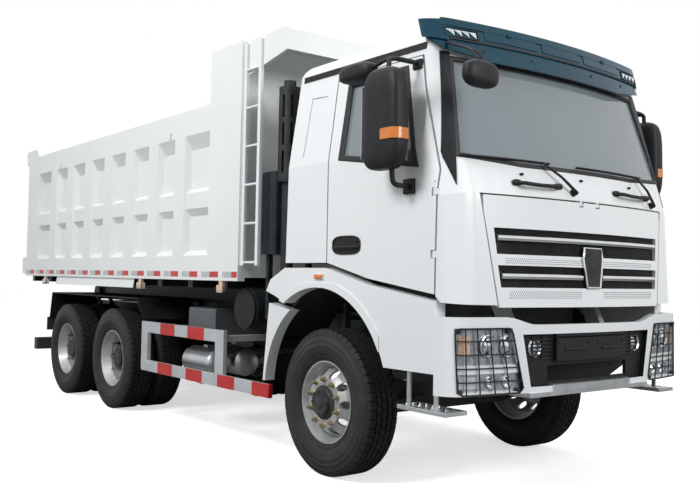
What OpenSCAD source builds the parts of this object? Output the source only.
// Three-axle cab-over tipper truck with a ribbed steel box.
// X points forward, Y to the truck's left, Z up from the ground, in millimetres.
// Lengths along X are measured from the front axle and shifted once, in place().

/* [Running gear] */
// Front axle to first drive axle
wheelbase = 3825; // [3700:5:4000]
// First drive axle to second drive axle
bogie_pitch = 1375; // [1340:5:1420]
// Outer diameter of a tyre
tyre_d = 1070; // [1050:2:1084]
// Section width of a tyre
tyre_w = 296; // [280:2:300]
// Rim diameter at the bead seat
rim_d = 572; // [560:1:584]
// Distance between the middles of the front tyres
front_track = 2060; // [2045:5:2080]
// Distance between the middles of the outer drive tyres
rear_track = 2150; // [2140:5:2170]
// Distance between the middles of twin tyres
twin_pitch = 340; // [335:1:345]
// Distance between the kingpins
kingpin_span = 1680; // [1670:2:1690]
// Radius of a kingpin
kingpin_r = 25; // [22:1:28]
// Radius of a wheel spindle
spindle_r = 45; // [40:1:50]
// Length of a steering arm
steer_arm = 260; // [240:5:280]

/* [Frame] */
// Width over the frame rails
frame_w = 860; // [840:2:864]
// Height of a rail
rail_h = 300; // [280:5:310]
// Flange width of a rail
rail_flange = 80; // [70:2:86]
// Plate thickness of a rail
rail_t = 9; // [7:1:12]
// Height of the rails' top face over the ground
frame_top = 1090; // [1080:2:1100]
// Front axle to the rails' front ends
frame_front = 1180; // [1160:5:1200]
// Last axle to the rails' rear ends
frame_rear = 1130; // [1100:5:1150]
// Thickness of one spring leaf
leaf_t = 20; // [16:1:22]
// Width of the leaf springs
leaf_w = 90; // [80:2:94]

/* [Box] */
// Width over the box's ribs
box_w = 2500; // [2490:2:2510]
// Depth of the ribs on the side sheets
rib_d = 60; // [50:2:64]
// Thickness of the side sheets
sheet_t = 10; // [8:1:12]
// Width of a rib's outer face
rib_w = 205; // [180:5:220]
// Number of ribs on a side
ribs = 7; // [6:1:8]
// Last axle to the box's rear face
box_rear = 1450; // [1430:5:1480]
// Front axle back to the headboard's front face
box_gap = 1120; // [1110:2:1140]
// Height of the box's lower edge over the ground
box_z = 1400; // [1395:1:1410]
// Height of the box's top rail over the ground
box_top = 2960; // [2940:5:2980]
// Height of the headboard's top over the ground
head_top = 3420; // [3400:5:3440]
// Width of a front corner pillar
pillar_w = 530; // [500:5:550]
// Width of a rear corner post
post_w = 420; // [400:5:440]
// Forward reach of the canopy over the headboard
canopy = 560; // [540:5:580]
// Bed hinge ahead of the box's rear face
tip_ahead = 500; // [480:5:520]
// Height of the bed hinge over the ground
tip_z = 1200; // [1195:1:1210]
// Radius of the bed hinge pins
tip_pin_r = 32; // [28:1:36]

/* [Cab] */
// Width of the cab
cab_w = 2450; // [2440:2:2456]
// Front axle back to the cab's rear wall
cab_rear = 450; // [430:5:470]
// Height of the cab's roof over the ground
roof_z = 3090; // [3070:5:3110]
// Thickness of the cab's walls
wall = 45; // [40:1:50]
// Thickness of a door
door_t = 60; // [56:1:64]
// Gap round the doors
door_gap = 12; // [11:1:14]
// Rake of the windscreen from upright, degrees
rake = 16.8; // [16:0.2:17.6]
// Height of the cab hinge over the ground
cab_pin_z = 950; // [940:2:960]
// Cab hinge ahead of the front axle
cab_pin_x = 1250; // [1240:2:1260]
// Radius of the cab hinge pins
cab_pin_r = 25; // [22:1:28]
// Radius of the hoist's trunnion pins
trunnion_r = 35; // [30:1:38]
// Radius of the hoist's barrel
barrel_r = 100; // [96:1:104]

/* [Hidden] */
$fn = 64;

// Running clearance at pins, gap at seats and general gap between panels
fit = 0.05;
seat = 0.3;
gap = 6;
// A little more than a cut needs
over = 5;

// Wheels
tyre_r = tyre_d / 2;
rim_r = rim_d / 2;
hub_z = tyre_r;
wheel_y = front_track / 2;
outer_y = rear_track / 2;
inner_y = outer_y - twin_pitch;
kingpin_y = kingpin_span / 2;
mid_x = -wheelbase;
last_x = -wheelbase - bogie_pitch;
bogie_x = (mid_x + last_x) / 2;

// Frame
rail_out = frame_w / 2;
rail_in = rail_out - rail_flange;
rail_z = frame_top - rail_h;
rail_rear_x = last_x - frame_rear;
leaf_y = rail_in + rail_flange / 2;

// Box
half_box = box_w / 2;
sheet_y = half_box - rib_d;
inner_box = sheet_y - sheet_t;
rear_x = last_x - box_rear;
head_x = -box_gap;
pillar_x = head_x - pillar_w;
post_x = rear_x + post_w;
tip_x = rear_x + tip_ahead;
floor_z = box_z + 40;
beam_h = 220;
beam_z = tip_z - 90;

// Overall reach ahead of and behind the front axle, and the shift that centres the part
bumper_tip = 1500;
front_reach = bumper_tip;
latch_reach = 150;
place_x = (-rear_x + latch_reach - front_reach) / 2;

// Cab
half_cab = cab_w / 2;
cab_rear_x = -cab_rear;
nose_r = 5500;
nose_corner = 230;
screen_foot = [1392, 2200];
nose_foot = [1452, 2000];
nose_slope = 2.86;
belt_z = 2280;
roof_r = 130;
roof_half = 1003;
cab_floor_z = 1555;
roof_seam = 2905;
door_rear = 95;
door_front = 1205;
bulkhead_x = 1222;
// Door hinges: lugs with pins on the cab, notches and bores in the door
hinge_x = 1190;
hinge_y = half_cab - 17;
hinge_zs = [1600, 1990];
hinge_r = 8;
lug_h = 20;
// Flap hinge
flap_pin = [1442, 1966];
flap_pin_r = 5;
flap_hinge_y = 90;

module place() translate([place_x, 0, 0]) children();
module pair() { children(); mirror([0, 1, 0]) children(); }
module right() mirror([0, 1, 0]) children();
module block(lo, hi) translate(lo) cube(hi - lo);
// A profile drawn in X and Z, drawn out from y0 to y1
module across(y0, y1) translate([0, y1, 0]) rotate([90, 0, 0]) linear_extrude(y1 - y0) children();
// A profile drawn in Y and Z, drawn out from x0 to x1
module along(x0, x1) translate([x0, 0, 0]) rotate([90, 0, 90]) linear_extrude(x1 - x0) children();
module rod_y(r, y0, y1) translate([0, y1, 0]) rotate([90, 0, 0]) cylinder(r = r, h = y1 - y0);
module rod_x(r, x0, x1) translate([x0, 0, 0]) rotate([0, 90, 0]) cylinder(r = r, h = x1 - x0);
module soft_square(size, r) {
    translate([r, 0]) square([size[0] - 2 * r, size[1]]);
    translate([0, r]) square([size[0], size[1] - 2 * r]);
    for (x = [r, size[0] - r], y = [r, size[1] - r]) translate([x, y]) circle(r);
}

// Frame: two channel rails, crossmembers, and the brackets welded to them
module rail() difference() {
    block([rail_rear_x, rail_in, rail_z], [frame_front, rail_out, frame_top]);
    block([rail_rear_x - over, rail_in - over, rail_z + rail_t],
        [frame_front + over, rail_out - rail_t, frame_top - rail_t]);
}

cross_h = 150;
cross_w = 110;
cross_x = [-1500, -2300, mid_x + 520, bogie_x, last_x - 480, rail_rear_x + 60];
cab_bracket = 20;
hoist_x = -720;
hoist_z = 1260;
rear_post_x = cab_rear_x + 30;

module frame() color("#22282c") place() {
    difference() {
        union() {
            pair() rail();
            for (x = cross_x)
                block([x - cross_w / 2, -rail_out + rail_t, frame_top - rail_t - cross_h],
                    [x + cross_w / 2, rail_out - rail_t, frame_top - rail_t]);
            block([frame_front - 90, -rail_out + rail_t, rail_z], [frame_front, rail_out - rail_t, rail_z + 90]);
            // Cab hinge brackets with their pins
            pair() {
                block([frame_front - 100, rail_out, rail_z + 60],
                    [cab_pin_x + 60, rail_out + cab_bracket, cab_pin_z + 60]);
                translate([cab_pin_x, 0, cab_pin_z]) rod_y(cab_pin_r, rail_out, rail_out + cab_bracket + 75);
                // Hanger brackets over the front springs
                for (s = [-1, 1])
                    block([s * (spring_half - 30) - 30, rail_in, leaf_end_z + seat],
                        [s * (spring_half - 30) + 30, rail_out, rail_z + over]);
                // Bed hinge ears with their pins
                tip_ear();
                // Hoist cradle ears
                block([hoist_x - 90, barrel_r + 25, frame_top], [hoist_x + 90, barrel_r + 60, hoist_z + 60]);
                block([hoist_x - 90, barrel_r + 25, frame_top], [hoist_x + 90, rail_out, frame_top + 25]);
            }
            trunnion();
        }
        translate([hoist_x, 0, hoist_z]) rod_y(trunnion_r + fit, -frame_w, frame_w);
        // Recovery pin bore through the front crossmember
        pair() translate([frame_front - 45, 240, 0]) cylinder(r = tow_r, h = frame_top);
    }
}
tow_r = 25;

// Posts that carry the cab's rear end
module cab_mounts() color("#22282c") place() pair()
    block([rear_post_x, rail_in, frame_top], [rear_post_x + 80, rail_out, cab_floor_z - 2 * gap]);

ear_t = 25;
module tip_ear() {
    ear_y = rail_out + gap;
    block([tip_x - 90, rail_out, frame_top - 160], [tip_x + 90, rail_out + gap + ear_t, frame_top - 20]);
    block([tip_x - 90, ear_y, frame_top - 160], [tip_x + 90, ear_y + ear_t, tip_z]);
    translate([tip_x, 0, tip_z]) rod_y(90, ear_y, ear_y + ear_t);
    translate([tip_x, 0, tip_z]) rod_y(tip_pin_r, rail_in - 30, ear_y + ear_t);
}

// Front axle beam with kingpins
fist_h = 100;
beam_top = 515;
pad_z = 525;
module front_axle() color("#22282c") place() {
    block([-55, -kingpin_y + 90, beam_top - 100], [55, kingpin_y - 90, beam_top]);
    pair() {
        block([-60, leaf_y - leaf_w / 2, beam_top - over], [60, leaf_y + leaf_w / 2, pad_z]);
        block([-50, kingpin_y - 150, beam_top - 100], [50, kingpin_y - 85, hub_z + fist_h / 2]);
        block([-45, kingpin_y - 100, hub_z - fist_h / 2], [45, kingpin_y, hub_z + fist_h / 2]);
        translate([0, kingpin_y, hub_z - fist_h / 2]) cylinder(r = 55, h = fist_h);
        translate([0, kingpin_y, hub_z - fist_h / 2 - 65]) cylinder(r = kingpin_r, h = fist_h + 130);
    }
}

// Front leaf springs, ends up
spring_r = 2500;
spring_half = 770;
leaf_end_z = pad_z + 6 * leaf_t + spring_r - sqrt(spring_r * spring_r - spring_half * spring_half);
module front_leaves() for (i = [0:5]) intersection() {
    difference() {
        circle(spring_r + (i + 1) * leaf_t, $fn = 128);
        circle(spring_r, $fn = 128);
    }
    translate([-spring_half + i * 115, -spring_r * 1.2]) square([2 * (spring_half - i * 115), spring_r]);
}
module springs() color("#2a2f33") place() pair() {
    translate([0, 0, pad_z + spring_r + 6 * leaf_t]) across(leaf_y - leaf_w / 2, leaf_y + leaf_w / 2) front_leaves();
    translate([bogie_x, 0, pack_z - pack_r]) across(bogie_y - leaf_w / 2, bogie_y + leaf_w / 2) bogie_leaves();
}

// Drive axles with banjo housings and the shafts between them
tube_r = 80;
diff_r = 205;
shaft_r = 48;
module drive_axle() {
    translate([0, 0, hub_z]) {
        rod_y(tube_r, -inner_y + 70, inner_y - 70);
        rod_y(spindle_r, -outer_y - 30, outer_y + 30);
        rod_y(diff_r, -120, 120);
        rod_x(120, 0, 330);
        rod_x(75, -260, 0);
    }
    pair() block([-70, bogie_y - leaf_w / 2, hub_z], [70, bogie_y + leaf_w / 2, bogie_end_z - seat]);
}
bogie_y = rail_out + 25 + leaf_w / 2;
gear_out = [-1290, 850];
module drive_axles() color("#22282c") place() {
    translate([mid_x, 0, 0]) drive_axle();
    translate([last_x, 0, 0]) drive_axle();
    // Propeller shafts
    translate([last_x, 0, hub_z]) rod_x(shaft_r, 300, bogie_pitch - 200);
    run = [gear_out[0] - 20 - mid_x - 320, gear_out[1] - hub_z];
    translate([mid_x + 320, 0, hub_z]) rotate([0, 90 - atan2(run[1], run[0]), 0])
        translate([0, 0, -20]) cylinder(r = shaft_r, h = norm(run) + 20);
    translate([0, 0, gear_out[1]]) rod_x(78, gear_out[0] - 40, gear_out[0] - seat);
}

// Bogie: trunnion under the frame and leaf packs that reach over both axles
pack_r = 3000;
pack_half = bogie_pitch / 2 + 55;
pack_z = 720;
trunnion_z = 652;
bogie_end_z = pack_z - pack_r + sqrt(pack_r * pack_r - pack_half * pack_half);
module bogie_leaves() for (i = [0:6]) intersection() {
    difference() {
        circle(pack_r + (i + 1) * leaf_t, $fn = 128);
        circle(pack_r, $fn = 128);
    }
    translate([-pack_half + i * 90, pack_r * 0.9]) square([2 * (pack_half - i * 90), pack_r]);
}
module trunnion() translate([bogie_x, 0, 0]) {
    translate([0, 0, trunnion_z]) rod_y(60, -bogie_y - 70, bogie_y + 70);
    pair() {
        block([-130, rail_in, 600], [130, rail_out, rail_z + over]);
        block([-100, bogie_y - leaf_w / 2, trunnion_z], [100, bogie_y + leaf_w / 2, pack_z - 2]);
    }
}

// Engine with its gearbox, one plain block each
module engine() color("#565d60") place() {
    block([-450, -310, 640], [860, 310, 1640]);
    translate([-450, 0, gear_out[1]]) rotate([0, -90, 0]) cylinder(r1 = 260, r2 = 190, h = 260);
    translate([0, 0, gear_out[1]]) rod_x(190, -1240, -700);
    translate([0, 0, gear_out[1]]) rod_x(80, gear_out[0], -1200);
    pair() for (x = [-300, 500]) block([x, 300, 900], [x + 120, rail_out - rail_t, 960]);
}

// Cooler pack ahead of the engine
module radiator() color("#3a4144") place() {
    block([930, 5 - rail_in, 880], [1050, rail_in - 5, 1480]);
    block([960, rail_t - rail_out, rail_z + rail_t], [1020, rail_out - rail_t, 885]);
}

// Tanks and boxes along the frame
module fuel_tank() {
    along(-2850, -1700) translate([rail_out + 60, 560]) soft_square([580, 560], 90);
    for (x = [-2650, -1950]) along(x, x + 60)
        difference() {
            translate([rail_out + 50, 550]) soft_square([600, 580], 95);
            translate([rail_out + 150, 650]) square([400, 400]);
        }
    for (x = [-2650, -1950]) block([x, rail_out, 820], [x + 60, rail_out + 70, 1060]);
}

// Air tanks: turned shells with domed ends, side by side
tank_r = 135;
tank_len = 460;
dome = 60;
module air_tank() rotate([0, 90, 0]) rotate_extrude() polygon(concat(
    [for (a = [90:-15:0]) [tank_r * sin(90 - a), -tank_len / 2 - dome * sin(a)]],
    [for (a = [0:15:90]) [tank_r * cos(a), tank_len / 2 + dome * sin(a)]]));
module tanks() color("#b4b9bc") place() {
    fuel_tank();
    right() {
        for (y = [rail_out + 190, rail_out + 490]) translate([-2220, y, 630]) air_tank();
        block([-2260, rail_out + 180, 750], [-2180, rail_out + 500, 785]);
        block([-2260, rail_out, 750], [-2180, rail_out + 200, 820]);
    }
}

module battery_box() color("#8d9396") place() right() {
    along(-2420, -1900) translate([rail_out + 60, 830]) soft_square([520, 310], 25);
    for (x = [-2350, -2000]) block([x, rail_out, 880], [x + 60, rail_out + 65, 1000]);
}

drum_r = 185;
module air_cleaner() color("#1d2124") place() right() translate([-1190, 0, 1165]) {
    rod_y(drum_r, 560, 1110);
    rod_y(drum_r - 20, 1110 - over, 1135);
    block([-60, rail_out, -180], [60, 600, -100]);
}

// Exhaust stack with a shield, on a bracket from the right rail
stack = [-690, 1050];
module exhaust() color("#33383b") place() right() {
    translate([stack[0], stack[1], 0]) {
        translate([0, 0, 1150]) cylinder(r = 50, h = 1880);
        translate([0, 0, 2205]) difference() {
            cylinder(r = 88, h = 770);
            translate([0, 0, 20]) cylinder(r = 82, h = 770);
            for (row = [0:2], turn = [0:45:315]) rotate([0, 0, turn + 22.5])
                block([60, -11, 70 + row * 225], [120, 11, 250 + row * 225]);
        }
    }
    translate([stack[0], 0, 1185]) rod_y(44, rail_out + 40, stack[1]);
    block([stack[0] - 60, rail_out, 1000], [stack[0] + 60, rail_out + 60, 1240]);
}

module oil_tank() color("#1f2426") place() right() {
    translate([-1030, 620, 1626]) linear_extrude(680) soft_square([220, 480], 40);
    translate([-920, 740, 2306 - over]) cylinder(r = 45, h = 60);
    block([-980, rail_out - 60, frame_top], [-960, 1060, frame_top + 40]);
    for (y = [640, 1040]) block([-980, y - 20, frame_top], [-940, y + 20, 1630]);
}

// Side guards
guard_y = 1200;
module side_guards() color("#c9cdd0") place() pair() {
    block([-3070, guard_y - 40, 865], [-1416, guard_y, 972]);
    for (x = [-3070, -1560]) block([x, guard_y - 40, 500], [x + 144, guard_y, 972]);
    block([-3060, guard_y - 35, 485], [-700, guard_y, 590]);
    for (x = [-3020, -1510]) {
        block([x, rail_out, 870], [x + 60, guard_y - 35, 925]);
        block([x, rail_out, 860], [x + 60, rail_out + 40, 1000]);
    }
}

// Rear underrun bar with its hangers and the lamp board
bar_x = rail_rear_x - 70;
module rear_underrun() color("#22282c") place() {
    along(bar_x - 60, bar_x + 60) translate([-1170, 440]) square([2340, 150]);
    pair() block([rail_rear_x - 40, rail_in, 500], [rail_rear_x, rail_out, frame_top - 30]);
    block([rail_rear_x - 20, -1050, 690], [rail_rear_x - 1, 1050, 860]);
}
module tail_lamps() color("#a31d1d") place() pair()
    along(rail_rear_x - 70, rail_rear_x - 20) translate([560, 705]) soft_square([440, 140], 20);

// Mudguards over the drive wheels
guard_top = 1200;
module mudguards() color("#1a1d1f") place() pair() {
    wheel_liner();
    across(inner_y - tyre_w / 2, half_box - 50) difference() {
        polygon([[mid_x + 620, guard_top], [mid_x + 805, 990], [last_x - 650, 720], [last_x - 540, guard_top]]);
        polygon([[mid_x + 614, guard_top - 12], [mid_x + 815, 970], [last_x - 660, 700],
            [last_x - 532, guard_top - 12]]);
    }
    for (x = [mid_x + 560, bogie_x, last_x - 500]) {
        block([x - 25, rail_out, 980], [x + 25, rail_out + 40, guard_top - 10]);
        block([x - 25, rail_out, guard_top - 45], [x + 25, half_box - 150, guard_top - 10]);
    }
}

// Front wings: fender with step cover, and the lower mudguard behind the wheel
arch_r = 800;
arch_z = 570;
wing_y = 1232;
step_hem = 860;
lip_t = 10;
lip_w = 55;
module arch_cut(r) translate([0, arch_z]) circle(r, $fn = 96);
module front_fenders() color("#e6e8e8") place() pair() {
    across(wing_y - 90, wing_y) difference() {
        polygon([[-700, 1330], [-640, 1420], [-440, 1512], [90, 1512], [575, 1400], [1225, 1308],
            [1225, step_hem], [785, step_hem], [600, step_hem], [-560, 1290]]);
        arch_cut(arch_r);
    }
    // Raised lip round the arch, and the side marker on it
    across(wing_y - over, wing_y + lip_t) intersection() {
        difference() {
            arch_cut(arch_r + lip_w);
            arch_cut(arch_r);
        }
        polygon([[-640, 1300], [-600, 1400], [700, 1400], [700, 900]]);
    }
    block([-35, wing_y - over, 1430], [65, wing_y + lip_t, 1468]);
    across(wing_y - 120, wing_y - 30) difference() {
        polygon([[-700, 1235], [-400, 1190], [-600, 620], [-770, 620]]);
        arch_cut(arch_r - 60);
    }
}
module liner_arc(x0) intersection() {
    difference() {
        arch_cut(arch_r + 12);
        arch_cut(arch_r);
    }
    polygon([[x0, 900], [x0, 1500], [900, 1500], [900, 850], [0, 700]]);
}
module wheel_liner() {
    across(640, wing_y - 120 - seat) liner_arc(-900);
    across(wing_y - 120 - over, wing_y - 90) liner_arc(-400);
    for (x = [-340, 300]) {
        z = arch_z + sqrt(arch_r * arch_r - 340 * 340);
        block([x - 25, rail_out, 980], [x + 25, rail_out + 40, z + 20]);
        block([x - 25, rail_out, z - 15], [x + 25, 700, z + 20]);
    }
    block([-735, rail_out, 900], [-695, wing_y - 120, 940]);
    block([740, rail_out, 1010], [780, wing_y - 90, 1050]);
}

// Bumper, a curved shell with pockets for the lamps
bumper_r = 6000;
bumper_corner = 190;
bumper_half = 1246;
lamp_back = 1245;
bumper_t = 50;
bumper_z = [735, 1215];
// The corner circles stand a little proud of the bow, so that the two cross cleanly
nose_lap = 0.5;
module nose_plan(tip, r, corner, half, t) {
    cy = half - corner;
    reach = r - corner + nose_lap;
    cx = tip - r + sqrt(reach * reach - cy * cy);
    side = cy / (cx - tip + r);
    intersection() {
        translate([tip - r, 0]) circle(r - t, $fn = 256);
        polygon([[tip - r, 0], [tip + corner, side * (r + corner)], [tip + corner, -side * (r + corner)]]);
    }
    for (s = [-1, 1]) translate([cx, s * cy]) circle(corner - t);
    translate([cx - 3000, -half + t]) square([3000, 2 * (half - t)]);
}
module bumper() color("#e6e8e8") place() {
    difference() {
        translate([0, 0, bumper_z[0]]) linear_extrude(bumper_z[1] - bumper_z[0]) difference() {
            nose_plan(bumper_tip, bumper_r, bumper_corner, bumper_half, 0);
            nose_plan(bumper_tip, bumper_r, bumper_corner, bumper_half, bumper_t);
        }
        block([-9000, -2000, 0], [1235, 2000, 2000]);
        // Lower top edge over the middle
        block([1235, -820, 1165], [1600, 820, 1300]);
        // Lamp pockets
        pair() lamp_prism(8);
        // Opening between the lamps
        along(1300, 1600) bumper_mouth(0);
    }
    bumper_insert();
    // Arms to the frame
    pair() block([frame_front, rail_in, 920], [1440, rail_out, 960]);
}
module bumper_mouth(g) polygon([[-615 - g, 772 - g], [615 + g, 772 - g], [685 + g, 1105 + g], [-685 - g, 1105 + g]]);
fog_r = 48;
// Set-back panel with fog lamp holes, a cavity over the step and a proud middle plate
module bumper_insert() {
    difference() {
        translate([0, 0, bumper_z[0]]) linear_extrude(bumper_z[1] - bumper_z[0]) difference() {
            nose_plan(bumper_tip, bumper_r, bumper_corner, bumper_half, bumper_t - 10);
            nose_plan(bumper_tip, bumper_r, bumper_corner, bumper_half, bumper_t + 12);
        }
        difference() {
            block([-9000, -2000, 0], [1700, 2000, 2000]);
            along(1300, 1600) bumper_mouth(20);
        }
        pair() translate([0, 545, 1015]) rod_x(fog_r, 1300, 1600);
        block([1300, -430, 800], [1600, 430, 900]);
    }
    translate([0, 0, 925]) linear_extrude(150) intersection() {
        difference() {
            nose_plan(bumper_tip, bumper_r, bumper_corner, bumper_half, 8);
            nose_plan(bumper_tip, bumper_r, bumper_corner, bumper_half, bumper_t);
        }
        translate([1300, -375]) square([300, 750]);
    }
}
module lamp_prism(g) along(lamp_back, 1600)
    polygon([[690 - g, 760 - g], [1165 + g, 760 - g], [1180 + g, 1140 + g], [780 - g, 1140 + g]]);
module headlamps() color("#cfd6da") place() pair() intersection() {
    linear_extrude(2000) difference() {
        nose_plan(bumper_tip, bumper_r, bumper_corner, bumper_half, 25);
        nose_plan(bumper_tip, bumper_r, bumper_corner, bumper_half, 110);
    }
    lamp_prism(8);
}
module lamp_guards() color("#1a1d1f") place() pair() intersection() {
    linear_extrude(2000) difference() {
        nose_plan(bumper_tip, bumper_r, bumper_corner, bumper_half, -5);
        nose_plan(bumper_tip, bumper_r, bumper_corner, bumper_half, 8);
    }
    along(lamp_back, 1600) intersection() {
        polygon([[682, 752], [1173, 752], [1188, 1148], [772, 1148]]);
        union() {
            for (y = [690, 800, 910, 1020, 1120, 1170]) translate([y, 700]) square([12, 500]);
            for (z = [752, 830, 910, 990, 1070, 1136]) translate([600, z]) square([700, 12]);
        }
    }
}
module steps() color("#b5babd") place() {
    block([1300, -640, 705], [bumper_tip - 12, 640, 735]);
    pair() {
        block([886, wing_y - 190, 612], [1330, wing_y, 640]);
        for (x = [930, 1180]) block([x, wing_y - 60, 630], [x + 30, wing_y - 45, step_hem]);
    }
}

// Cab shell: front view, side view and two raked noses cut one body
module cab_front_view(t) {
    polygon([[-half_cab + t, 1200], [half_cab - t, 1200], [half_cab - t, belt_z],
        [roof_half + roof_r - t, roof_z - roof_r], [-roof_half - roof_r + t, roof_z - roof_r], [-half_cab + t, belt_z]]);
    for (s = [-1, 1]) translate([s * roof_half, roof_z - roof_r]) circle(roof_r - t);
    translate([-roof_half, roof_z - roof_r - 1]) square([2 * roof_half, roof_r + 1 - t]);
}
module cab_side_view(t) {
    lean = 45;
    polygon([[cab_rear_x + t, 1200], [1700, 1200], [1700, roof_z - t], [cab_rear_x + lean + roof_r, roof_z - t],
        [cab_rear_x + lean + roof_r, roof_z - roof_r], [cab_rear_x + lean + t, roof_z - roof_r]]);
    translate([cab_rear_x + lean + roof_r, roof_z - roof_r]) circle(roof_r - t);
}
module cab_nose(foot, slope, t) translate([foot[0], 0, foot[1]]) rotate([0, -slope, 0])
    translate([0, 0, -2000]) linear_extrude(4000) nose_plan(0, nose_r, nose_corner, half_cab + 2, t);
module cab_outer(t) intersection() {
    along(-1000, 1700) cab_front_view(t);
    across(-1400, 1400) cab_side_view(t);
    cab_nose(screen_foot, rake, t);
    cab_nose(nose_foot, nose_slope, t);
}
module cab_skin(t0, t1) difference() {
    cab_outer(t0);
    cab_outer(t1);
}
// Lower edge of the cab in side view
module hem() across(-1400, 1400) polygon([[-700, 1550], [door_rear, 1550], [570, 1440], [door_front, 1352],
    [1250, 1302], [1600, 1275], [1600, 3300], [-700, 3300]]);
module door_outline(g) polygon([[door_rear - g, 1400], [door_rear - g, 1300], [door_front + g, 1300],
    [door_front + g, 2130], [985 + g, roof_seam - 8 + 2 * g], [door_rear - g, roof_seam - 8 + 2 * g]]);
module screen_outline(g) polygon([[-1105 - g, 2215], [-600, 2182 - g], [600, 2182 - g], [1105 + g, 2215],
    [1000 + g, roof_seam], [-1000 - g, roof_seam]]);
flap_top = 1980;
flap_low = 1275;
// The flap is narrower than its opening near the hinge, so that its bowed corners pass the cab as it lifts
flap_half = [862, 980];
flap_slack = 16;
module flap_outline(g) polygon([[-flap_half[0] - g, flap_low - g], [flap_half[0] + g, flap_low - g],
    [flap_half[1] + g, flap_top + g], [-flap_half[1] - g, flap_top + g]]);

module cab_roof() color("#e6e8e8") place() intersection() {
    cab_skin(0, wall);
    block([-1000, -1400, roof_seam], [1700, 1400, 3300]);
}

tunnel_half = 420;
tunnel_z = 1740;
module cab_body() color("#e6e8e8") place() {
    // Floor with the engine tunnel
    difference() {
        union() {
            difference() {
                intersection() {
                    cab_skin(0, wall);
                    hem();
                    block([-1000, -1400, 1000], [door_rear - door_gap, 1400, roof_seam]);
                }
                // Shallow quarter recess behind the doors
                intersection() {
                    cab_skin(-over, 8);
                    pair() across(1000, 1400) polygon([[-250, 2345], [-20, 2315], [-20, 2790], [-225, 2800]]);
                }
            }
            intersection() {
                cab_outer(wall - over);
                block([-1000, -1400, cab_floor_z], [door_rear - door_gap, 1400, cab_floor_z + 40]);
            }
            intersection() {
                cab_outer(door_t + 15);
                block([-1000, -1400, cab_floor_z], [door_front - 5, 1400, cab_floor_z + 40]);
            }
            block([cab_rear_x + 10, -tunnel_half, cab_floor_z], [1060, tunnel_half, tunnel_z]);
        }
        block([-1000, -tunnel_half + 30, 1000], [1030, tunnel_half - 30, tunnel_z - 30]);
    }
    // Arms down to the cab hinge
    pair() across(rail_out + cab_bracket + gap, rail_out + cab_bracket + 60) difference() {
        union() {
            translate([cab_pin_x, cab_pin_z]) circle(60);
            polygon([[cab_pin_x - 58, cab_pin_z - 5], [cab_pin_x + 30, cab_pin_z + 50],
                [1020, cab_floor_z + over], [880, cab_floor_z + over]]);
        }
        translate([cab_pin_x, cab_pin_z]) circle(cab_pin_r + fit);
    }
}

module cab_front() color("#e6e8e8") place() {
    difference() {
        intersection() {
            cab_skin(0, wall);
            hem();
            block([900, -1400, 1000], [1700, 1400, roof_seam]);
        }
        pair() across(1000, 1400) door_outline(door_gap);
        along(1000, 1700) screen_outline(0);
        along(1235, 1700) flap_outline(10);
    }
    door_lugs();
    flap_lugs();
    // Bulkhead behind the flap
    intersection() {
        cab_outer(wall - over);
        union() {
            block([bulkhead_x, -1400, 1330], [bulkhead_x + 40, 1400, 2140]);
            block([bulkhead_x, -1400, 2100], [1430, 1400, 2140]);
        }
    }
}
module windscreen() color("#5f7480", 0.5) place() intersection() {
    cab_skin(10, 18);
    along(1000, 1700) screen_outline(-seat);
}

// Sun visor: a band that follows the nose above the windscreen
visor_z = [2885, 3135];
module visor_nose(t) translate([screen_foot[0] + 60, 0, screen_foot[1]]) rotate([0, -rake, 0])
    translate([0, 0, 400]) linear_extrude(1200) nose_plan(0, nose_r, nose_corner, half_cab - 30, t);
module sun_visor() color("#1c4b5f") place() {
    difference() {
        intersection() {
            visor_nose(0);
            along(900, 1700) polygon([[-1140, 3010], [-1060, 2935], [-700, visor_z[0]], [700, visor_z[0]],
                [1060, 2935], [1140, 3010], [1140, visor_z[1] - 30], [1000, visor_z[1]],
                [-1000, visor_z[1]], [-1140, visor_z[1] - 30]]);
            block([1000, -1400, 2500], [1700, 1400, 3300]);
        }
        visor_nose(14);
    }
    // Proud upper tier
    intersection() {
        difference() {
            visor_nose(-tier_t);
            visor_nose(7);
        }
        along(900, 1700) polygon([[-1128, 3018], [1128, 3018], [1128, visor_z[1] - 40], [1000, visor_z[1] - 12],
            [-1000, visor_z[1] - 12], [-1128, visor_z[1] - 40]]);
        block([1005, -1400, 2500], [1700, 1400, 3300]);
    }
    pair() block([1040, 500, roof_z + seat], [1180, 540, roof_z + 22]);
}
tier_t = 10;

// Wipers: blades and arms cut from a skin over the glass, on pivots that stand on the cowl
blade_z = 2222;
wiper_pivots = [[-167, 2042], [837, 2024]];
wiper_blades = [[-1090, -360], [-88, 735]];
module wiper_plan(pivot, blade) {
    translate([blade[0], blade_z - 8]) square([blade[1] - blade[0], 16]);
    polygon([[pivot[0] - 14, pivot[1]], [pivot[0] + 14, pivot[1]], [blade[1] - 60, blade_z + 6],
        [blade[1] - 92, blade_z + 6]]);
}
module wipers() {
    difference() {
        intersection() {
            cab_nose(screen_foot, rake, -24);
            along(1000, 1700) for (i = [0, 1]) wiper_plan(wiper_pivots[i], wiper_blades[i]);
        }
        cab_nose(screen_foot, rake, -8);
    }
    difference() {
        for (p = wiper_pivots) translate([0, p[0], p[1]]) rod_x(20, 1300, 1466);
        cab_outer(0);
    }
}
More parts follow.
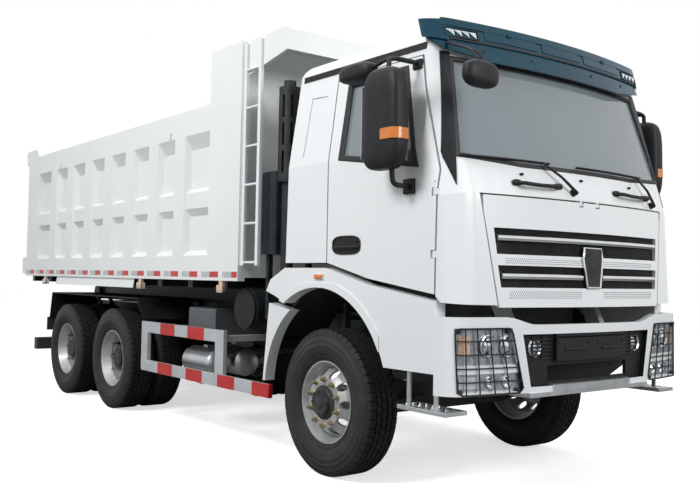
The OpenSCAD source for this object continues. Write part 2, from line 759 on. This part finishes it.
// Grab handles over the cowl
handle_z = 2075;
handle_spans = [[-700, -290], [320, 790]];
module handles() difference() {
    for (span = handle_spans) {
        intersection() {
            difference() {
                cab_nose(screen_foot, rake, -60);
                cab_nose(screen_foot, rake, -40);
            }
            along(1000, 1700) translate([span[0], handle_z - 12]) soft_square([span[1] - span[0], 24], 10);
        }
        for (y = [span[0] + 25, span[1] - 25]) intersection() {
            translate([0, y, handle_z]) rod_x(15, 1200, 1600);
            cab_nose(screen_foot, rake, -50);
        }
    }
    cab_outer(0);
}

module cab_fittings() color("#1a1d1f") place() {
    wipers();
    handles();
    // Front mirror on its arm
    right() {
        translate([1385, 930, 2620]) linear_extrude(170) soft_square([110, 290], 40);
        difference() {
            translate([1425, 1050, 2700]) rotate([0, -49, 0]) cylinder(r = 12, h = 440);
            visor_nose(-seat);
        }
    }
}

module seats() for (y = [-620, 620]) translate([0, y, cab_floor_z + 40 + seat]) {
    block([100, -190, 0], [420, 190, 220]);
    translate([30, -250, 220]) linear_extrude(120) soft_square([520, 500], 60);
    translate([0, 250, 0]) rotate([90, 0, 0]) linear_extrude(500) polygon([[60, 300], [170, 330], [70, 960], [-40, 940]]);
}

module dashboard() {
    intersection() {
        cab_outer(wall + 60);
        across(-1180, 1180) polygon([[930, 2090], [900, 1980], [1000, 1760], [bulkhead_x - seat, 1700],
            [bulkhead_x - seat, 2095]]);
    }
    // Steering wheel on its column, left-hand drive
    translate([880, 620, 2080]) rotate([0, -35, 0]) {
        rotate_extrude() translate([225, 0]) circle(16);
        block([-225, -20, -12], [225, 20, 6]);
        translate([0, 0, -330]) cylinder(r = 32, h = 335);
        cylinder(r = 70, h = 12);
    }
}

module cab_interior() color("#34383b") place() {
    seats();
    dashboard();
}

// Doors
module door_panel() difference() {
    intersection() {
        cab_skin(0, door_t);
        hem();
        difference() {
            across(1000, 1400) door_outline(0);
            across(900, 1400) window_outline(0);
        }
    }
    for (z = hinge_zs) translate([hinge_x, hinge_y, z]) {
        block([-18, -20, -lug_h - gap], [30, 60, lug_h + gap]);
        translate([0, 0, -lug_h - 50]) cylinder(r = hinge_r + fit, h = 2 * lug_h + 100);
    }
}
module door_lugs() pair() for (z = hinge_zs) translate([hinge_x, hinge_y, z]) {
    block([-8, -10, -lug_h], [door_front + door_gap + over - hinge_x, 8, lug_h]);
    translate([0, 0, -lug_h - 40]) cylinder(r = hinge_r, h = 2 * lug_h + 80);
}
module window_outline(g) polygon([[225 - g, 2292 - g], [1045 + g, 2172 - g],
    [848 + g, 2840 + g], [240 - g, 2840 + g]]);
module door_glass() intersection() {
    cab_skin(22, 28);
    across(1000, 1400) window_outline(-seat);
}
module mirror_set() {
    // Main mirror and kerb mirror on two arms from the door
    translate([745, 1330, 2130]) linear_extrude(650) soft_square([365, 150], 60);
    translate([420, 1290, 2750]) linear_extrude(130) soft_square([340, 140], 50);
    translate([740, 1360, 2830]) rotate([0, 90, 0]) cylinder(r = 14, h = 230);
    translate([957, 1400, 2770]) cylinder(r = 16, h = 96);
    translate([980, 1385, 2026]) cylinder(r = 16, h = 110);
    difference() {
        union() {
            translate([957, 1060, 2850]) rotate([-90, 0, 0]) cylinder(r = 16, h = 360);
            translate([980, 1200, 2040]) rotate([-90, 0, 0]) cylinder(r = 16, h = 200);
        }
        cab_outer(0);
    }
    // Door handle
    block([180, half_cab, 1640], [460, half_cab + 32, 1672]);
}
module door_right() color("#e6e8e8") place() right() door_panel();
module door_left() color("#e6e8e8") place() door_panel();
module glass_right() color("#5f7480", 0.5) place() right() door_glass();
module glass_left() color("#5f7480", 0.5) place() door_glass();
module mirrors_right() color("#1a1d1f") place() right() mirror_set();
module mirrors_left() color("#1a1d1f") place() mirror_set();

// Front flap and grille
flap_t = 25;
module mouth(z0, z1, half = 870) polygon([[-half - 20, z1], [half + 20, z1], [half, z0], [-half, z0]]);
module front_flap() color("#e6e8e8") place() difference() {
    intersection() {
        cab_skin(0, flap_t);
        along(1235, 1700) intersection() {
            flap_outline(0);
            translate([flap_slack - flap_half[1], 0]) square([2 * (flap_half[1] - flap_slack), 3000]);
        }
    }
    along(1235, 1700) mouth(1610, 1776);
    along(1235, 1700) mouth(1400, 1540, 845);
    pair() translate([flap_pin[0], flap_hinge_y, flap_pin[1]]) {
        block([-60, -20, -18], [60, 20, 60]);
        rod_y(flap_pin_r + fit, -42, 42);
    }
}
module flap_lugs() pair() translate([flap_pin[0], flap_hinge_y, flap_pin[1]]) {
    block([-12, -12, -8], [7, 12, flap_top + 10 + over - flap_pin[1]]);
    rod_y(flap_pin_r, -36, 36);
}
module grille() color("#15181a") place() {
    intersection() {
        cab_skin(flap_t, flap_t + 12);
        along(1235, 1700) union() {
            mouth(1590, 1796, 880);
            mouth(1380, 1560, 850);
        }
    }
    intersection() {
        cab_skin(4, flap_t + 1);
        along(1235, 1700) union() {
            mouth(1700, 1728, 855);
            mouth(1460, 1485, 830);
        }
    }
    badge_plate();
}
// Bare plate in a frame where a badge would sit, clear of the flap's sheet between the mouths
badge_half = [70, 105];
badge_z = [1405, 1672];
module badge_plate() difference() {
    intersection() {
        cab_skin(-8, flap_t + 1);
        along(1235, 1700) polygon([[-badge_half[0], badge_z[0]], [badge_half[0], badge_z[0]],
            [badge_half[1], 1600], [badge_half[1] - 15, badge_z[1]], [15 - badge_half[1], badge_z[1]],
            [-badge_half[1], 1600]]);
    }
    block([1235, -200, 1540 - seat], [1700, 200, 1610 + seat]);
    intersection() {
        cab_skin(-20, -2);
        along(1235, 1700) polygon([[15 - badge_half[0], badge_z[0] + 15], [badge_half[0] - 15, badge_z[0] + 15],
            [badge_half[1] - 15, 1600], [15 - badge_half[1], 1600]]);
    }
}

// Steered knuckles and the tie rod
lug_gap = 5;
module knuckle() translate([0, kingpin_y, hub_z]) {
    difference() {
        union() {
            for (z = [fist_h / 2 + lug_gap, -fist_h / 2 - lug_gap - 45]) {
                translate([0, 0, z]) cylinder(r = 52, h = 45);
                block([-45, 0, z], [45, 90, z + 45]);
            }
            block([-60, 62, -fist_h / 2 - lug_gap - 45], [60, 92, fist_h / 2 + lug_gap + 45]);
            block([-steer_arm, -22, -fist_h / 2 - lug_gap - 45], [0, 22, -fist_h / 2 - lug_gap - 5]);
            translate([-steer_arm, 0, -fist_h / 2 - lug_gap - 45]) cylinder(r = 30, h = 40);
        }
        translate([0, 0, -200]) cylinder(r = kingpin_r + fit, h = 400);
        translate([-steer_arm, 0, -200]) cylinder(r = 14 + fit, h = 200);
    }
    rod_y(spindle_r, 80, wheel_y - kingpin_y + 60);
}
module knuckle_right() color("#2a2f33") place() right() knuckle();
module knuckle_left() color("#2a2f33") place() knuckle();
module tie_rod() color("#2a2f33") place() translate([-steer_arm, 0, hub_z - fist_h / 2 - lug_gap - 45]) {
    translate([0, 0, -35]) rod_y(22, -kingpin_y, kingpin_y);
    pair() translate([0, kingpin_y, 0]) {
        translate([0, 0, -65]) cylinder(r = 32, h = 60);
        translate([0, 0, -10]) cylinder(r = 14, h = 48);
    }
}

// Tyres and wheels, turned about Y with the outer side towards +Y
module turned() rotate([-90, 0, 0]) rotate_extrude($fn = 96) children();
module tyre() turned() {
    w = tyre_w / 2;
    polygon([[rim_r + 14, -w * 0.72], [rim_r + 14, w * 0.72], [rim_r + 40, w * 0.86], [rim_r + 95, w * 0.985],
        [rim_r + 140, w], [rim_r + 185, w * 0.975], [tyre_r - 30, w * 0.9], [tyre_r - 8, w * 0.84], [tyre_r, w * 0.72],
        [tyre_r, -w * 0.72], [tyre_r - 8, -w * 0.84], [tyre_r - 30, -w * 0.9], [rim_r + 185, -w * 0.975],
        [rim_r + 140, -w], [rim_r + 95, -w * 0.985], [rim_r + 40, -w * 0.86]]);
}
bead = 0.78;
module barrel() {
    w = tyre_w / 2 * bead;
    polygon([[rim_r + 13.7, -w], [rim_r + 13.7, -w + 12], [rim_r + 2, -w + 22], [rim_r - 8, -w + 60],
        [rim_r - 30, -20], [rim_r - 30, 20], [rim_r - 8, w - 60], [rim_r + 2, w - 22], [rim_r + 13.7, w - 12],
        [rim_r + 13.7, w], [rim_r + 4, w], [rim_r - 10, w - 30], [rim_r - 40, 20], [rim_r - 40, -20],
        [rim_r - 10, -w + 30], [rim_r + 4, -w]]);
}
holes = 10;
hole_r = 30;
hole_ring = 212;
nut_ring = 167.5;
module ring_holes(r, ring) for (i = [0:holes - 1]) rotate([0, i * 360 / holes, 0])
    translate([ring, 0, 0]) rod_y(r, -tyre_w, tyre_w);
module front_wheel() {
    difference() {
        union() {
            turned() barrel();
            turned() polygon([[rim_r - 36, 10], [rim_r - 32, 30], [220, 85], [185, 128], [110, 128], [110, 112],
                [176, 112], [208, 70], [rim_r - 48, 15]]);
            rod_y(118, -60, 128 - 8);
            rod_y(92, 110, 165);
        }
        rod_y(spindle_r + fit, -tyre_w, 80);
        ring_holes(hole_r, hole_ring);
    }
    for (i = [0:holes - 1]) rotate([0, (i + 0.5) * 360 / holes, 0]) translate([nut_ring, 0, 0]) rod_y(14, 120, 150);
}
module twin_wheels() {
    mid = (outer_y + inner_y) / 2;
    difference() {
        union() {
            for (y = [outer_y, inner_y]) translate([0, y, 0]) turned() barrel();
            for (s = [-1, 1]) translate([0, mid, 0]) mirror([0, s > 0 ? 0 : 1, 0])
                turned() polygon([[100, 0], [190, 0], [225, 45], [rim_r - 34, twin_pitch / 2 - 22],
                    [rim_r - 34, twin_pitch / 2], [rim_r - 44, twin_pitch / 2], [212, 55], [184, 14], [100, 14]]);
            rod_y(150, inner_y - 40, mid);
            rod_y(125, mid - over, outer_y + 15);
            rod_y(100, outer_y, outer_y + 40);
        }
        rod_y(spindle_r + fit, 0, outer_y + 31);
        ring_y = mid;
        translate([0, ring_y, 0]) ring_holes(hole_r, hole_ring + 10);
    }
    for (i = [0:holes - 1]) rotate([0, (i + 0.5) * 360 / holes, 0]) translate([nut_ring, 0, 0]) rod_y(14, mid, mid + 42);
}
module twin_tyres() for (y = [outer_y, inner_y]) translate([0, y, 0]) tyre();
module front_spot() place() translate([0, wheel_y, hub_z]) children();
module mid_spot() place() translate([mid_x, 0, hub_z]) children();
module last_spot() place() translate([last_x, 0, hub_z]) children();

module rim_front_right() color("#b9bcbd") right() front_spot() front_wheel();
module tyre_front_right() color("#1c1c1c") right() front_spot() tyre();
module rim_front_left() color("#b9bcbd") front_spot() front_wheel();
module tyre_front_left() color("#1c1c1c") front_spot() tyre();
module rims_mid_right() color("#b9bcbd") right() mid_spot() twin_wheels();
module tyres_mid_right() color("#1c1c1c") right() mid_spot() twin_tyres();
module rims_mid_left() color("#b9bcbd") mid_spot() twin_wheels();
module tyres_mid_left() color("#1c1c1c") mid_spot() twin_tyres();
module rims_rear_right() color("#b9bcbd") right() last_spot() twin_wheels();
module tyres_rear_right() color("#1c1c1c") right() last_spot() twin_tyres();
module rims_rear_left() color("#b9bcbd") last_spot() twin_wheels();
module tyres_rear_left() color("#1c1c1c") last_spot() twin_tyres();

// Bed: floor on beams, ribbed sides, headboard with canopy
module bed_floor() color("#d9dcdc") place() {
    difference() {
        block([rear_x, -inner_box, floor_z - 10], [head_x - head_t, inner_box, floor_z]);
        block([head_x - notch_d - notch_t, -notch_half - notch_t, 0],
            [head_x + over, notch_half + notch_t, floor_z + over]);
    }
    for (i = [0:ribs + 1]) {
        x = post_x - 300 + i * (pillar_x - post_x + 500) / (ribs + 1);
        block([x - 45, -inner_box, beam_z + beam_h], [x + 45, inner_box, floor_z - 10]);
    }
    pair() difference() {
        union() {
            block([tip_x, rail_in - 5, beam_z], [head_x - 60, rail_out - 15, beam_z + beam_h]);
            translate([tip_x, 0, tip_z]) rod_y(90, rail_in - 5, rail_out - 15);
            block([tip_x - 90, rail_in - 5, tip_z], [tip_x, rail_out - 15, floor_z - 10]);
        }
        translate([tip_x, 0, tip_z]) rod_y(tip_pin_r + fit, rail_in - 100, rail_out + 100);
    }
}
marker_x = [mid_x + 775, last_x - 700];
strip_x = [-5500, -3220];
module rib_plan() polygon([[-rib_w / 2 - 30, -sheet_t / 2], [rib_w / 2 + 30, -sheet_t / 2],
    [rib_w / 2 + 30, 0], [rib_w / 2, rib_d], [-rib_w / 2, rib_d], [-rib_w / 2 - 30, 0]]);
module bed_side() {
    along(rear_x, pillar_x) {
        polygon([[inner_box, box_z], [half_box, box_z], [half_box, box_z + 220], [sheet_y, box_z + 268],
            [sheet_y, box_top - 360], [half_box, box_top - 235], [half_box, box_top], [inner_box, box_top]]);
        polygon([[sheet_y - 5, 1975], [sheet_y + 45, 2050], [sheet_y + 45, 2195], [sheet_y - 5, 2240]]);
    }
    for (i = [1:ribs])
        translate([post_x + i * (pillar_x - post_x) / (ribs + 1), sheet_y, box_z + 20])
            linear_extrude(box_top - box_z - 40) rib_plan();
    block([rear_x, sheet_y - 5, box_z], [post_x, half_box, box_top - 70]);
    // Ear for the tailgate pin and latch plate
    across(half_box - 50, half_box) difference() {
        polygon([[rear_x - 90, 2885], [rear_x - 90, 3060], [rear_x + 300, 3060], [rear_x + 460, 2885]]);
        translate([gate_x, gate_z]) circle(gate_pin_r + fit);
    }
    across(half_box - 50, half_box) polygon([[rear_x, 1410], [rear_x - latch_reach, 1440],
        [rear_x - latch_reach, 1640], [rear_x - 90, 1640], [rear_x - 90, 1560], [rear_x, 1600]]);
    // Marker lamps and the splash strip under the sill
    for (x = marker_x) {
        block([x - 40, half_box - 45, box_z - 100], [x + 40, half_box - 5, box_z - 40]);
        block([x - 25, half_box - 30, box_z - 45], [x + 25, half_box - 20, box_z + over]);
    }
    along(strip_x[0], strip_x[1]) polygon([[half_box - 30, box_z + over], [half_box - 22, box_z + over],
        [half_box - 6, box_z - 95], [half_box - 14, box_z - 95]]);
}
module bed_sides() color("#e6e8e8") place() pair() bed_side();

// Notch low in the headboard that the leaning hoist swings into
notch_half = 150;
notch_d = 140;
notch_top = 1720;
notch_t = 30;
head_t = 60;
module headboard() color("#e6e8e8") place() {
    difference() {
        union() {
            block([head_x - head_t, -inner_box, floor_z - 10], [head_x, inner_box, head_top]);
            block([head_x - notch_d - notch_t, -notch_half - notch_t, floor_z - 10],
                [head_x, notch_half + notch_t, notch_top + notch_t]);
        }
        block([head_x - notch_d, -notch_half, floor_z - 20], [head_x + over, notch_half, notch_top]);
    }
    pair() {
        block([pillar_x, inner_box, box_z], [head_x, half_box, head_top]);
        across(inner_box, inner_box + 20) polygon([[head_x - over, 3120], [head_x + canopy + 40, 3239],
            [head_x + canopy, head_top], [head_x - over, head_top]]);
        // Ears for the hoist's eye
        across(barrel_r + 10, barrel_r + 40) polygon([[head_x - over, eye_z - 380], [hoist_x + 60, eye_z - 70],
            [hoist_x + 60, eye_z + 70], [head_x - over, eye_z + 260]]);
    }
    block([head_x - over, -inner_box - 20, head_top - 20], [head_x + canopy, inner_box + 20, head_top]);
    across(-inner_box - 20, inner_box + 20) polygon([[head_x + canopy + 28, 3239], [head_x + canopy + 40, 3239],
        [head_x + canopy, head_top], [head_x + canopy - 12, head_top]]);
}

rung_pitch = 322;
module ladder() color("#dfe2e2") place() right() {
    y0 = inner_box + 20;
    block([head_x, y0, 1530], [head_x + 40, y0 + 25, 3390]);
    block([head_x + 222, y0, 1530], [head_x + 262, y0 + 25, 3390]);
    for (i = [0:5]) translate([0, y0 + 12, 1556 + i * rung_pitch]) rod_x(11, head_x + 20, head_x + 240);
}

// Tailgate, hung from pins in the ears
gate_x = rear_x - 30;
gate_z = 2990;
gate_pin_r = 22;
module tailgate() color("#e6e8e8") place() {
    block([rear_x - 85, -inner_box - 15, box_z + 10], [rear_x - gap, inner_box + 15, 2870]);
    for (i = [-3:3]) translate([rear_x - 85, i * 330, box_z + 60]) rotate([0, 0, 90]) linear_extrude(1360)
        polygon([[-70, -1], [70, -1], [45, 30], [-45, 30]]);
    pair() {
        translate([gate_x, 0, gate_z]) rod_y(50, inner_box - 70, inner_box - gap);
        block([gate_x - 50, inner_box - 70, 2800], [gate_x + 22, inner_box - gap, gate_z]);
        translate([gate_x, 0, gate_z]) rod_y(gate_pin_r, inner_box - 20, half_box - 5);
    }
}

// Telescopic hoist between cab and box
eye_z = 2690;
eye_r = 45;
hoist_low = hoist_z - 70;
tube_gap = 1;
tube_t = 9;
tube_len = 1420;
module tube(i) {
    r = barrel_r - i * (tube_t + tube_gap);
    difference() {
        translate([0, 0, hoist_low + 10 * i]) cylinder(r = r, h = tube_len + 10 * i);
        translate([0, 0, hoist_low + 10 * i + 9]) cylinder(r = r - tube_t, h = tube_len + 20 * i);
    }
}
module hoist_barrel() color("#8a1f1c") place() translate([hoist_x, 0, 0]) {
    tube(0);
    pair() translate([0, 0, hoist_z]) rod_y(trunnion_r, barrel_r - 4, barrel_r + 60);
    pair() translate([0, 0, hoist_z]) rod_y(trunnion_r + 20, barrel_r - 4, barrel_r + 19);
}
module hoist_stage_1() color("#c6cbcd") place() translate([hoist_x, 0, 0]) tube(1);
module hoist_stage_2() color("#c6cbcd") place() translate([hoist_x, 0, 0]) tube(2);
module hoist_stage_3() color("#c6cbcd") place() translate([hoist_x, 0, 0]) {
    tube(3);
    translate([0, 0, hoist_low + tube_len + 40]) cylinder(r = barrel_r - 3 * (tube_t + tube_gap), h = 20);
    translate([0, 0, hoist_low + tube_len + 50]) cylinder(r = 38, h = eye_z - hoist_low - tube_len - 50);
    translate([0, 0, eye_z]) rod_y(eye_r, -50, 50);
    translate([0, 0, eye_z]) rod_y(22, -barrel_r - 4, barrel_r + 4);
}

frame();
cab_mounts();
front_axle();
springs();
drive_axles();
engine();
radiator();
tanks();
battery_box();
air_cleaner();
exhaust();
oil_tank();
side_guards();
rear_underrun();
tail_lamps();
mudguards();
front_fenders();
bumper();
headlamps();
lamp_guards();
steps();
cab_body();
cab_roof();
cab_front();
windscreen();
sun_visor();
cab_fittings();
cab_interior();
door_right();
door_left();
glass_right();
glass_left();
mirrors_right();
mirrors_left();
front_flap();
grille();
knuckle_right();
knuckle_left();
tie_rod();
rim_front_right();
tyre_front_right();
rim_front_left();
tyre_front_left();
rims_mid_right();
tyres_mid_right();
rims_mid_left();
tyres_mid_left();
rims_rear_right();
tyres_rear_right();
rims_rear_left();
tyres_rear_left();
bed_floor();
bed_sides();
headboard();
ladder();
tailgate();
hoist_barrel();
hoist_stage_1();
hoist_stage_2();
hoist_stage_3();
